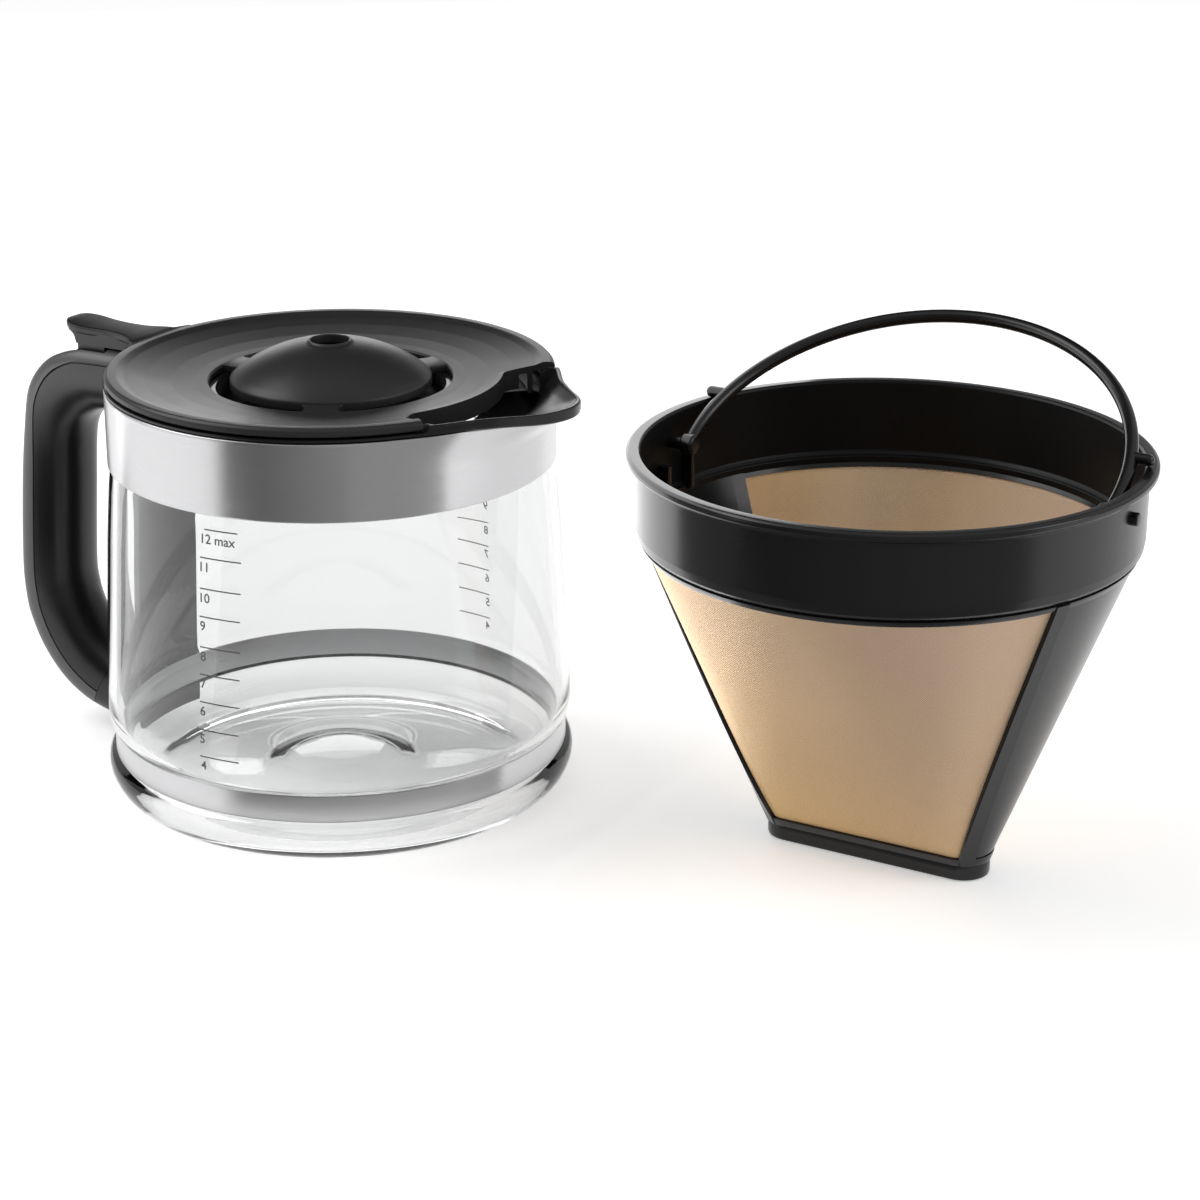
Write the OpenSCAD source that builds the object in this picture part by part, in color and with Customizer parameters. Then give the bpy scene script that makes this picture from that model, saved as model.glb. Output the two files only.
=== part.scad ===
// Glass coffee carafe with a flip-top lid, and its permanent cone filter.
// Millimetres, Z up. The origin is the centre of the carafe's base on the table,
// +X points to the spout and -X to the handle.

/* [Carafe] */
// Largest radius of the glass, at the bulge above the base
bulge_r = 76; // [75.6:0.1:76.1]
// Glass radius just above the lower band
wall_low_r = 75.4; // [74.8:0.1:75.5]
// Glass radius just under the upper band
wall_top_r = 70.6; // [70.2:0.1:70.7]
// Glass wall thickness
glass_t = 2.6; // [2.2:0.1:2.8]
// Lower edge of the upper steel band
band_z = 111; // [110:0.5:113]
// Reach of the spout tip from the carafe's axis
spout_reach = 89.3; // [88:0.1:90]
// Half of the angle that the spout takes up
spout_half = 32.5; // [31:0.5:34]

/* [Lid] */
// Radius of the lid's rim
lid_r = 70.8; // [70:0.1:71.1]
// Height of the lid's rim above the table
lid_top_z = 140.1; // [139.9:0.1:140.4]
// Radius of the dome in the lid
dome_r = 31.9; // [31:0.1:32.4]
// Height of the dome's crown above the table
dome_top_z = 148.3; // [147:0.1:150]
// Radius of the drip hole in the dome
drip_r = 6; // [5:0.5:7]
// Outer radius of the ring of slots
slot_r = 38.4; // [37.6:0.1:38.8]

/* [Handle] */
// Width of the handle
handle_w = 24; // [23:0.5:26]
// Radius of the hinge pin
pin_r = 1.6; // [1.5:0.05:1.7]

/* [Filter] */
// Filter centre, along X from the carafe's axis
filter_x = 179; // [175:1:190]
// Filter centre, along Y from the carafe's axis
filter_y = 33; // [20:1:40]
// Turn of the filter's long axis from +X, in degrees
filter_turn = 0; // [0:1:6]
// Radius of the filter's lip
lip_r = 79; // [78:0.5:80]
// Height of the filter's lip
lip_z = 131; // [130.8:0.1:131.2]
// Lean of the bail at rest, back from upright
bail_lean = 64; // [60:1:64]

/* [Hidden] */

$fn = 96;

// Glass: base rounding, groove for the lower band, neck and mouth
base_round_r = 12;
groove_r = 72.9;
groove_low_z = 14.8;
groove_high_z = 23.9;
neck_r = 69.8;
mouth_z = 126;

// Steel bands: outside radius of the upper one, sheet and strip thickness
band_r = 71.2;
band_top_z = 135.4;
sheet_t = 0.6;
strip_t = 0.75;
bracket_t = 1;
flare_z = 125.4;

// Spout collar
collar_in_r = 65.8;
flange_top_z = 136.8;
spout_top_z = 138.8;
skirt_fit = 0.05;
shelf_z = 125;
shelf_t = 1.5;
shelf_r = 48;

// Lid: rim underside, inner skirt, cut-out over the spout, dome, slots, basin seat
rim_low_z = 137.2;
lid_skirt_r = 63.6;
lid_skirt_t = 1.6;
lid_skirt_z = 129.8;
cut_r = 54.5;
dome_rim_z = 136.8;
dome_wall_z = 133.7;
dome_t = 2;
seat_z = 133.9;
baffle_h = 6;
tab_angles = [180, 60, -60];
tab_w = 10.6;
basin_r = 44;
basin_z = 120.9;
basin_flange_z = 132.1;
lid_screw_r = 42;

// Lid hinge and thumb lever
pivot_x = -90;
pivot_z = 127.5;
running_gap = 0.05;
lever_half = 7.4;
slot_half = 7.9;
bush_r = 2.6;
bush_end = 10.8;

// Handle plate and its two screws: height, end face of the head, end of the shank
plate_half_angle = 13;
plate_low_z = 5.4;
plate_low_r = 78.1;
plate_top_r = 74.4;
hw = handle_w / 2;
screw_r = 1.5;
head_r = 2.6;
head_h = 1.8;
nut_t = 1.6;
screw_z = [125.4, 21];
screw_head_x = [-82.6, -93];
nut_x = [-72.1, -74.7];

// Filter: wall, cone, foot, windows, bail
rim_wall_r = 76.4;
rim_inner_r = 74.6;
cone_top_z = 104;
cone_top_r = 74.4;
foot_half = 37.2;
foot_r = 8.6;
foot_h = 5.4;
frame_t = 1.8;
mesh_t = 0.5;
rib_proud = 0.8;
window_top_x = 66.5;
window_low_x = 31;
window_top_z = 103;
window_low_z = 7;
bail_z = 122;
bail_half = 68.6;
bail_rise = 76;
rod_r = 2.1;
bail_pin_r = 2;
ear_r = 1.8;
ear_reach = 74;

// Points along an arc in a plane: centre, radius, first and last angle, steps
function arc(cx, cy, r, a0, a1, n = 12) =
  [for (i = [0:n]) [cx + r * cos(a0 + (a1 - a0) * i / n), cy + r * sin(a0 + (a1 - a0) * i / n)]];

function reversed(list) = [for (i = [len(list) - 1:-1:0]) list[i]];

// A ring of revolution with a square section
module tube(r_out, r_in, z0, z1) {
  rotate_extrude()
    polygon([[r_in, z0], [r_out, z0], [r_out, z1], [r_in, z1]]);
}

// A sector of a disc, from -half to +half degrees about +X
module sector(r, half) {
  polygon(concat([[0, 0]], arc(0, 0, r, -half, half, 24)));
}

// The stretch of a ring that lies within half degrees of the handle side
module handle_side(half, z0, z1) {
  translate([0, 0, z0])
    rotate([0, 0, 180])
      linear_extrude(height = z1 - z0)
        sector(100, half);
}

// An outline in side view (x, z), as wide as given across the handle
module side_extrude(width) {
  translate([0, width / 2, 0])
    rotate([90, 0, 0])
      linear_extrude(height = width)
        children();
}

// A cylinder along X from x0 to x1
module rod_x(r, x0, x1, z, y = 0) {
  translate([x0, y, z])
    rotate([0, 90, 0])
      cylinder(r = r, h = x1 - x0, $fn = 48);
}

// A cylinder along Y from y0 to y1, on the lid's pivot line
module pivot_rod(r, y0, y1) {
  translate([pivot_x, y1, pivot_z])
    rotate([90, 0, 0])
      cylinder(r = r, h = y1 - y0, $fn = 48);
}

// ---------------------------------------------------------------- glass jug

module glass_jug() {
  floor_z = 4;
  push_z = 11;
  outer = concat(
    [[0, push_z - 3], [14, push_z - 3.8], [24, 3], [40, 1], [60, 0.6], [62, 0]],
    arc(bulge_r - base_round_r, base_round_r, base_round_r, -90, 8, 14),
    [[groove_r, groove_low_z], [groove_r, groove_high_z]],
    [[wall_low_r - 0.6, groove_high_z + 1], [wall_low_r, groove_high_z + 4]],
    [[wall_top_r, band_z - 3], [neck_r, band_z + 4], [neck_r, mouth_z]]);
  inner = [[neck_r - glass_t, mouth_z], [neck_r - glass_t, band_z + 3],
    [wall_top_r - glass_t, band_z - 4], [wall_low_r - glass_t, groove_high_z + 5],
    [groove_r - glass_t, groove_high_z], [groove_r - glass_t, groove_low_z],
    [bulge_r - glass_t - 2, base_round_r], [67, floor_z + 1.6], [60, floor_z],
    [40, floor_z + 0.4], [24, floor_z + 2.2], [14, push_z - 0.6], [0, push_z]];
  color("lightcyan", 0.35)
    rotate_extrude($fn = 128)
      polygon(concat(outer, inner));
}

// ------------------------------------------------------------- steel bands

// The flare of the upper band that carries the spout
module band_flare(shrink) {
  hull() {
    for (side = [-1, 1])
      rotate([0, 0, side * 24])
        translate([band_r - 3, 0, flare_z])
          cylinder(r = 1.6 - shrink, h = band_top_z - flare_z + shrink, $fn = 24);
    translate([spout_reach - 9.5, 0, band_top_z - 1])
      cylinder(r = 3.4 - shrink, h = 1 + shrink, $fn = 32);
    translate([band_r - 8, 0, flare_z])
      cylinder(r = 6 - shrink, h = 1, $fn = 32);
  }
}

module upper_band() {
  color("silver")
    difference() {
      union() {
        tube(band_r, band_r - sheet_t, band_z, band_top_z);
        band_flare(0);
      }
      translate([0, 0, band_z - 1])
        cylinder(r = band_r - sheet_t, h = 40);
      band_flare(sheet_t);
      translate([-90, -1.5, band_z - 1])
        cube([30, 3, 40]);
    }
}

module lower_band() {
  color("silver")
    difference() {
      tube(groove_r + strip_t, groove_r, groove_low_z, groove_high_z);
      translate([-90, -1.5, 0])
        cube([30, 3, 40]);
    }
}

module lower_band_clip() {
  color("gray")
    intersection() {
      tube(groove_r + strip_t + 0.7, groove_r + strip_t, groove_low_z + 1.2, groove_high_z - 1.2);
      handle_side(6, 0, 40);
    }
}

module band_bracket() {
  color("dimgray")
    intersection() {
      tube(band_r + bracket_t, band_r, band_z + 2, band_z + 9.4);
      handle_side(7, band_z, band_z + 20);
    }
}

// ------------------------------------------------------------ spout collar

// The beak, or with shrink above 0 the channel inside it
module spout_beak(shrink, z_low, z_tip) {
  hull() {
    for (side = [-1, 1])
      rotate([0, 0, side * (spout_half - shrink)])
        translate([band_r - 1.2 - shrink, 0, z_low + 4])
          cylinder(r = 1.2, h = spout_top_z - z_low - 4 + shrink, $fn = 24);
    translate([spout_reach - 4.6, 0, z_tip])
      cylinder(r = 4.6 - shrink, h = spout_top_z - z_tip + shrink, $fn = 32);
    translate([collar_in_r, 0, z_low])
      cylinder(r = 4 - shrink, h = 4, $fn = 32);
  }
}

module spout_collar() {
  inner_skirt_r = neck_r - glass_t - 0.6;
  color("#26282a")
    difference() {
      union() {
        tube(band_r, collar_in_r, band_top_z, flange_top_z);
        tube(band_r - sheet_t - skirt_fit, collar_in_r, mouth_z + 0.6, band_top_z);
        tube(inner_skirt_r, collar_in_r - 1, mouth_z - 7, mouth_z + 0.6);
        difference() {
          spout_beak(0, 128.8, band_top_z);
          translate([0, 0, 120])
            cylinder(r = band_r - sheet_t - skirt_fit, h = band_top_z - 120);
          translate([0, 0, 120])
            cylinder(r = collar_in_r, h = 30);
          band_clearance();
        }
        trough_floor();
      }
      spout_beak(1.8, 130.8, band_top_z + 1.6);
    }
}

// Floor of the trough, which runs in under the lid
module trough_floor() {
  translate([0, 0, shelf_z])
    linear_extrude(height = shelf_t)
      difference() {
        intersection() {
          circle(r = neck_r - glass_t - 1);
          sector(90, spout_half - 2);
        }
        circle(r = shelf_r);
      }
}

// What the flare of the band takes up, with its inside left for the collar
module band_clearance() {
  difference() {
    translate([0, 0, band_z])
      cylinder(r = 95, h = band_top_z - band_z);
    band_flare(sheet_t + skirt_fit);
  }
}

module collar_gasket() {
  color("#8d8f91")
    union() {
      tube(neck_r, neck_r - glass_t - 0.6, mouth_z, mouth_z + 0.6);
      tube(neck_r - glass_t, neck_r - glass_t - 0.6, mouth_z - 6, mouth_z);
    }
}

// ------------------------------------------------------------------ handle

// Seam between the grip and the spine cover in side view, lid end first
function seam_top(inset) = concat(
  [[-70, 130.4 - inset]],
  arc(-93, 111, 19.4 - inset, 90, 168, 10),
  [[-114.6 + inset, 88], [-116.6 + inset, 66]]);

function seam_foot(inset) = arc(-93.5, 46, 23.6 - inset, 170, 238, 12);

// Outside line of the whole handle
function outside_top() = concat(
  [[-70, 135]],
  arc(-95, 111, 24, 90, 166, 10),
  [[-122.6, 92], [-125.6, 66]]);

function outside_foot() = concat(
  arc(-95.6, 47, 31, 168, 238, 12),
  [[-104, 11.4]]);

// Inside line of the grip
function inside_line() = concat(
  [[-70, 113.4]],
  arc(-88.4, 101.4, 12, 90, 172, 8),
  [[-102.6, 72]],
  arc(-83.6, 48, 20, 172, 256, 10),
  [[-72, 27.6]]);

module grip_outline() {
  polygon(concat(
    seam_top(0), seam_foot(0),
    [[-103.6, 22.4], [-97, 17.4], [-97, 6.8], [-87, 4.6], [-72, 4.6]],
    reversed(inside_line())));
}

module spine_outline() {
  polygon(concat(
    outside_top(), outside_foot(),
    [[-97.2, 6.9], [-97.2, 17.2], [-103.85, 22.1]],
    reversed(seam_foot(-0.2)), reversed(seam_top(-0.2))));
}

// The space round the jug that the plate and the bands take up
module jug_side(gap) {
  rotate_extrude($fn = 128)
    polygon([[0, 0], [plate_low_r + gap, 0], [plate_low_r + gap, 29],
      [wall_low_r + 2.4 + gap, 33], [plate_top_r + gap, 108], [plate_top_r + gap, 140], [0, 140]]);
}

// The slot in the top of the handle that the thumb lever swings in
module lever_slot() {
  side_extrude(2 * slot_half)
    polygon([[-84.6, 137], [-84.6, 122.5], [-96, 119.4], [-105, 117.6], [-109, 118.2],
      [-112, 120.5], [-124, 125], [-124, 137]]);
}

module handle_grip() {
  color("#3a3c3e")
    difference() {
      side_extrude(handle_w)
        grip_outline();
      jug_side(0.02);
      lever_slot();
      for (i = [0, 1]) {
        rod_x(screw_r + 0.2, screw_head_x[i] - 1, -70, screw_z[i]);
        rod_x(head_r + 0.3, screw_head_x[i] - 14, screw_head_x[i], screw_z[i]);
      }
      for (side = [-1, 1])
        pivot_rod(bush_r, min(side * 7, side * bush_end), max(side * 7, side * bush_end));
    }
}

module handle_spine() {
  color("#46484a")
    difference() {
      side_extrude(handle_w)
        spine_outline();
      jug_side(0.02);
      lever_slot();
    }
}

module handle_plate() {
  bracket_gap = bracket_t + 0.1;
  color("#2f3133")
    difference() {
      intersection() {
        jug_side(0);
        handle_side(plate_half_angle, plate_low_z, 134.4);
      }
      rotate_extrude($fn = 128)
        polygon([[0, 0], [bulge_r + 0.15, 0], [bulge_r + 0.15, groove_low_z - 1],
          [74.5, groove_low_z], [74.5, groove_high_z - 0.2], [wall_low_r + 0.15, groove_high_z + 1.2], [wall_low_r + 0.15, 31],
          [band_r + 0.05, 109], [band_r + 0.05, band_z + 1],
          [band_r + bracket_gap, band_z + 1.6], [band_r + bracket_gap, band_z + 9.8],
          [band_r + 0.05, band_z + 10.4], [band_r + 0.05, 140], [0, 140]]);
      for (i = [0, 1]) {
        rod_x(screw_r + 0.2, -85, -60, screw_z[i]);
        rod_x(3.1, nut_x[i] - nut_t - 0.1, -60, screw_z[i]);
      }
    }
}

module plate_screws() {
  color("gainsboro")
    for (i = [0, 1]) {
      rod_x(screw_r, screw_head_x[i] - 0.1, nut_x[i], screw_z[i]);
      rod_x(head_r, screw_head_x[i] - head_h, screw_head_x[i], screw_z[i]);
    }
}

module plate_nuts() {
  color("goldenrod")
    for (i = [0, 1])
      difference() {
        translate([nut_x[i] - nut_t, 0, screw_z[i]])
          rotate([0, 90, 0])
            cylinder(r = 3, h = nut_t, $fn = 6);
        rod_x(screw_r, nut_x[i] - 5, nut_x[i] + 5, screw_z[i]);
      }
}

module hinge_pin() {
  color("silver")
    pivot_rod(pin_r, -bush_end + 0.2, bush_end - 0.2);
}

module hinge_bushes() {
  color("white")
    for (side = [-1, 1])
      difference() {
        pivot_rod(bush_r, min(side * slot_half, side * bush_end),
          max(side * slot_half, side * bush_end));
        pivot_rod(pin_r, -20, 20);
      }
}

// --------------------------------------------------------------------- lid

// Dished disc of the lid, outside the ring of slots
module lid_disc() {
  rotate_extrude($fn = 128)
    polygon([[slot_r, dome_wall_z], [52, dome_wall_z + 0.2], [60, rim_low_z - 1.4],
      [lid_skirt_r - lid_skirt_t, rim_low_z - 1], [lid_skirt_r - lid_skirt_t, lid_skirt_z],
      [lid_skirt_r, lid_skirt_z], [lid_skirt_r, rim_low_z], [lid_r, rim_low_z],
      [lid_r, lid_top_z - 0.7], [lid_r - 0.7, lid_top_z], [67.4, lid_top_z],
      [66, lid_top_z - 0.7], [60, lid_top_z - 1.9], [52, lid_top_z - 3],
      [44, lid_top_z - 3.8], [slot_r, lid_top_z - 4.1]]);
}

// Dome shell with its drip hole and raised lip
module lid_dome() {
  rise = dome_top_z - dome_rim_z;
  ball_r = (dome_r * dome_r + rise * rise) / (2 * rise);
  ball_z = dome_top_z - ball_r;
  edge_a = asin((dome_rim_z - ball_z) / ball_r);
  hole_a = acos((drip_r + 1.2) / ball_r);
  inner_a = asin((dome_wall_z + 0.6 - ball_z) / (ball_r - dome_t));
  rotate_extrude($fn = 128)
    polygon(concat(
      [[dome_r - dome_t, dome_wall_z], [dome_r, dome_wall_z]],
      arc(0, ball_z, ball_r, edge_a, hole_a, 14),
      [[drip_r + 0.9, dome_top_z + 0.5], [drip_r, dome_top_z + 0.2],
       [drip_r, dome_top_z - dome_t - 0.6]],
      reversed([for (p = arc(0, ball_z, ball_r - dome_t, inner_a, hole_a, 12))
        if (p[0] < dome_r - dome_t) p])));
}

// The three bridges that hold the dome in the disc
module lid_tabs() {
  for (a = tab_angles)
    rotate([0, 0, a])
      translate([dome_r - 1, -tab_w / 2, dome_wall_z])
        cube([slot_r - dome_r + 2, tab_w, 2.3]);
}

// Downward wall that follows the cut-out over the spout
module cut_baffle() {
  wall_t = 1.8;
  translate([0, 0, rim_low_z - baffle_h])
    linear_extrude(height = baffle_h + 0.6)
      difference() {
        intersection() {
          circle(r = lid_skirt_r - 0.4);
          sector(90, spout_half + 4);
        }
        difference() {
          sector(90, spout_half + 2);
          circle(r = cut_r);
        }
        circle(r = cut_r - wall_t);
      }
}

// Thumb lever in side view: the pad, its hooked underside and the pivot lug
module lever_side() {
  polygon(concat(
    [[-66.5, lid_top_z - 0.4], [-70, 140.8], [-82, 141.1], [-92, 141.3], [-98, 141.8],
     [-102.6, 142.5], [-104, 141.8], [-103.4, 140.4], [-99, 139.2], [-96.2, 137.4],
     [-94.8, 134.8]],
    arc(pivot_x, pivot_z, 4.2, 150, 352, 16),
    [[-85.2, 136.2], [-74, 136.2], [-70, rim_low_z + 0.2], [-66.5, rim_low_z + 0.2]]));
}

// Thumb lever from above: round nose, waist, and a flare into the rim
module lever_plan() {
  polygon(concat(
    arc(-96.6, 0, lever_half, 100, 260, 16),
    [[-90, -6.5], [-82, -6.3], [-74, -7.2], [-66.5, -10], [-66.5, 10], [-74, 7.2], [-82, 6.3],
     [-90, 6.5]]));
}

module thumb_lever() {
  intersection() {
    side_extrude(40)
      lever_side();
    translate([0, 0, 115])
      linear_extrude(height = 40)
        lever_plan();
  }
}

module lid_cover() {
  color("#2c2e30")
    difference() {
      union() {
        difference() {
          lid_disc();
          translate([0, 0, 120])
            linear_extrude(height = 30)
              difference() {
                sector(90, spout_half + 1.5);
                circle(r = cut_r);
              }
        }
        lid_dome();
        lid_tabs();
        cut_baffle();
        thumb_lever();
      }
      pivot_rod(pin_r + running_gap, -20, 20);
      for (a = tab_angles)
        rotate([0, 0, a])
          rod_z(1.2, lid_screw_r, seat_z - 1, seat_z + 1.4);
    }
}

// A cylinder along Z from z0 to z1, at radius from the axis
module rod_z(r, radius, z0, z1) {
  translate([radius, 0, z0])
    cylinder(r = r, h = z1 - z0, $fn = 48);
}

// Catch basin under the dome, with its drain spout in the middle
module lid_basin() {
  wall = 1.6;
  color("#1f2123")
    difference() {
      union() {
        rotate_extrude()
          polygon([[7, basin_z], [30, basin_z + 3], [38, basin_z + 6],
            [38, basin_flange_z], [basin_r, basin_flange_z], [basin_r, dome_wall_z],
            [36.4, dome_wall_z], [36.4, basin_z + 7], [29.4, basin_z + 4.7],
            [7, basin_z + wall + 0.2]]);
        tube(7, 5.4, basin_z - 4, basin_z + wall + 0.2);
      }
      for (a = tab_angles)
        rotate([0, 0, a])
          rod_z(1.2, lid_screw_r, basin_z + 5, lid_top_z);
    }
}

module lid_screws() {
  color("gainsboro")
    for (a = tab_angles)
      rotate([0, 0, a]) {
        rod_z(1.2, lid_screw_r, basin_flange_z - 0.2, seat_z + 1.2);
        rod_z(1.9, lid_screw_r, basin_flange_z - 1.4, basin_flange_z);
      }
}

// ------------------------------------------------------------------ filter

// Puts the filter in its place beside the carafe
module place_filter() {
  translate([filter_x, filter_y, 0])
    rotate([0, 0, filter_turn])
      children();
}

// Bar with round ends, along X
module round_bar(half, r, z0, z1) {
  translate([0, 0, z0])
    linear_extrude(height = z1 - z0)
      union() {
        for (side = [-1, 1])
          translate([side * (half - r), 0])
            circle(r = r, $fn = 64);
        square([2 * (half - r), 2 * r], center = true);
      }
}

// Solid cone from the round rim down to the long foot
module cone(grow, over = 0) {
  hull() {
    translate([0, 0, cone_top_z + over])
      cylinder(r = cone_top_r + grow, h = 0.01, $fn = 72);
    for (side = [-1, 1])
      translate([side * (foot_half - foot_r), 0, foot_h - over - 0.01])
        cylinder(r = foot_r - 0.2 + grow, h = 0.01, $fn = 32);
  }
}

// Window outline in the long side of the cone, as seen along Y
module window_outline(margin = 0) {
  polygon([[-window_low_x - margin, window_low_z - margin],
    [window_low_x + margin, window_low_z - margin],
    [window_top_x + margin, window_top_z + margin],
    [-window_top_x - margin, window_top_z + margin]]);
}

module window_prism(margin, y0, y1) {
  translate([0, y1, 0])
    rotate([90, 0, 0])
      linear_extrude(height = y1 - y0)
        window_outline(margin);
}

module filter_rim() {
  color("#2b2d2f")
    place_filter()
      difference() {
        union() {
          rotate_extrude($fn = 128)
            polygon([[72.4, cone_top_z + 0.01], [74.8, cone_top_z + 0.01], [76, cone_top_z + 3.2],
              [76.3, 112], [rim_wall_r, 127], [rim_wall_r + 0.4, 127.8], [lip_r - 0.6, 128.4],
              [lip_r, 129.2], [lip_r, lip_z - 0.9], [lip_r - 0.9, lip_z],
              [rim_inner_r + 0.4, lip_z], [rim_inner_r, lip_z - 0.5],
              [rim_inner_r, cone_top_z + 2.4], [72.4, cone_top_z + 1.4]]);
          for (side = [0, 180])
            rotate([0, 0, side])
              for (y = [-8.6, 6.6])
                translate([70.4, y, cone_top_z + 1.2])
                  cube([4.6, 2, 11]);
        }
        rod_x(bail_pin_r + running_gap, -90, 90, bail_z);
      }
}

module filter_frame() {
  color("#242628")
    place_filter()
      union() {
        difference() {
          cone(0);
          cone(-frame_t, 0.02);
          window_prism(0, -80, 80);
        }
        difference() {
          cone(rib_proud);
          cone(0, 0.02);
          window_prism(0, -80, 80);
          window_gap();
        }
      }
}

// Everything outside the four ribs that edge the windows
module window_gap() {
  rib_w = 4.5;
  difference() {
    translate([-100, -100, -1])
      cube([200, 200, 140]);
    window_prism(rib_w, -80, 80);
  }
}

module filter_foot() {
  color("#1e2022")
    place_filter()
      union() {
        round_bar(foot_half - 0.6, foot_r - 0.6, 0, 0.8);
        round_bar(foot_half, foot_r, 0.8, foot_h - 0.02);
      }
}

module mesh_panel(y0, y1) {
  color("#b8955f")
    place_filter()
      intersection() {
        difference() {
          cone(-0.5);
          cone(-0.5 - mesh_t, 0.02);
        }
        window_prism(0, y0, y1);
      }
}

module mesh_front() {
  mesh_panel(-80, 0);
}

module mesh_back() {
  mesh_panel(0, 80);
}

// Bail: a round rod bent to an arc, with hubs, pins and stop ears
module bail_handle() {
  arc_r = (bail_half * bail_half + bail_rise * bail_rise) / (2 * bail_rise);
  drop = arc_r - bail_rise;
  ear_up = (lip_z + ear_r + 0.05 - bail_z) / cos(bail_lean);
  ear_x = sqrt(arc_r * arc_r - pow(ear_up + drop, 2));
  start_a = asin(drop / arc_r);
  color("#1c1e20")
    place_filter()
      translate([0, 0, bail_z])
        rotate([-bail_lean, 0, 0])
          union() {
            translate([0, 0, -drop])
              rotate([90, 0, 0])
                rotate([0, 0, start_a])
                  rotate_extrude(angle = 180 - 2 * start_a)
                    translate([arc_r, 0])
                      circle(r = rod_r, $fn = 32);
            for (side = [0, 180])
              rotate([0, 0, side]) {
                rod_x(3.2, bail_half - 2.4, bail_half + 1.8, 0);
                rod_x(bail_pin_r, bail_half - 1, 78.4, 0);
                rod_x(ear_r, ear_x - 0.5, ear_reach, ear_up);
              }
          }
}

glass_jug();
upper_band();
lower_band();
lower_band_clip();
band_bracket();
spout_collar();
collar_gasket();
handle_plate();
handle_grip();
handle_spine();
plate_screws();
plate_nuts();
hinge_pin();
hinge_bushes();
lid_cover();
lid_basin();
lid_screws();
filter_rim();
filter_frame();
filter_foot();
mesh_front();
mesh_back();
bail_handle();
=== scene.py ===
"""Looks for the glass carafe and its cone filter. Row frame, metres in Blender; mm in the tables below."""

import math

import bmesh
import bpy
from mathutils import Matrix, Vector


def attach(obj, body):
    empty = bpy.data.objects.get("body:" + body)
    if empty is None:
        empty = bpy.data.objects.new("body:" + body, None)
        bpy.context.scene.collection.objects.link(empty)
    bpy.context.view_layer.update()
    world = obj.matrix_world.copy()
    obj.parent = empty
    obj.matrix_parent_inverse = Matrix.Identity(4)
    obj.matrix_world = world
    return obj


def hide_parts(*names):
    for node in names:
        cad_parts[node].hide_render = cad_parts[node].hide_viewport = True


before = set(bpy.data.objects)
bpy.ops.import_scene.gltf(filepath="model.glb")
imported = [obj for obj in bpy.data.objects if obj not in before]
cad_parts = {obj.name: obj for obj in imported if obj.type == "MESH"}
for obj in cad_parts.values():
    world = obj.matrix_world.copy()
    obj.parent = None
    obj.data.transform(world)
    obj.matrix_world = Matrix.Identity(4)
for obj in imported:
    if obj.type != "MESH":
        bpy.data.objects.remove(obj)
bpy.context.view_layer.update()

MM = 0.001
scene = bpy.context.scene
FILTER = Matrix.Translation((0.179, 0.033, 0))

# ------------------------------------------------------------------ helpers


def smoothstep(a, b, x):
    t = min(1.0, max(0.0, (x - a) / (b - a)))
    return t * t * (3 - 2 * t)


def lerp(a, b, t):
    return a + (b - a) * t


def curve(table, x):
    """Smooth (monotone cubic) value at x of a table of (x, value)."""
    xs = [p[0] for p in table]
    ys = [p[1] for p in table]
    if x <= xs[0]:
        return ys[0]
    if x >= xs[-1]:
        return ys[-1]
    d = [(ys[i + 1] - ys[i]) / (xs[i + 1] - xs[i]) for i in range(len(xs) - 1)]
    m = [d[0]]
    for i in range(1, len(d)):
        m.append(0 if d[i - 1] * d[i] <= 0 else 2 * d[i - 1] * d[i] / (d[i - 1] + d[i]))
    m.append(d[-1])
    for i in range(len(d)):
        if x <= xs[i + 1]:
            h = xs[i + 1] - xs[i]
            t = (x - xs[i]) / h
            return (
                ys[i] * (2 * t**3 - 3 * t**2 + 1)
                + h * m[i] * (t**3 - 2 * t**2 + t)
                + ys[i + 1] * (-2 * t**3 + 3 * t**2)
                + h * m[i + 1] * (t**3 - t**2)
            )


def round_axis(r, degrees, z):
    """Point at radius r and height z, turned about Z."""
    a = math.radians(degrees)
    return (r * math.cos(a), r * math.sin(a), z)


def turned(degrees, axis="Z"):
    return Matrix.Rotation(math.radians(degrees), 4, axis)


def make(name, verts, faces, mats, sharp=38, merge=True, place=None):
    """Mesh object from points in mm, with its materials and shading."""
    me = bpy.data.meshes.new(name)
    me.from_pydata([(v[0] * MM, v[1] * MM, v[2] * MM) for v in verts], [], faces)
    me.update()
    bm = bmesh.new()
    bm.from_mesh(me)
    if merge:
        bmesh.ops.remove_doubles(bm, verts=bm.verts, dist=2e-6)
        bmesh.ops.dissolve_degenerate(bm, edges=bm.edges, dist=1e-7)
    bmesh.ops.recalc_face_normals(bm, faces=bm.faces)
    bm.to_mesh(me)
    bm.free()
    if place:
        me.transform(place)
    for m in mats if isinstance(mats, (list, tuple)) else [mats]:
        me.materials.append(m)
    ob = bpy.data.objects.new(name, me)
    scene.collection.objects.link(ob)
    finish_shading(ob, sharp)
    return ob


def finish_shading(ob, sharp=38):
    ob.data.shade_smooth()
    ob.data.set_sharp_from_angle(angle=math.radians(sharp))


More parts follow.
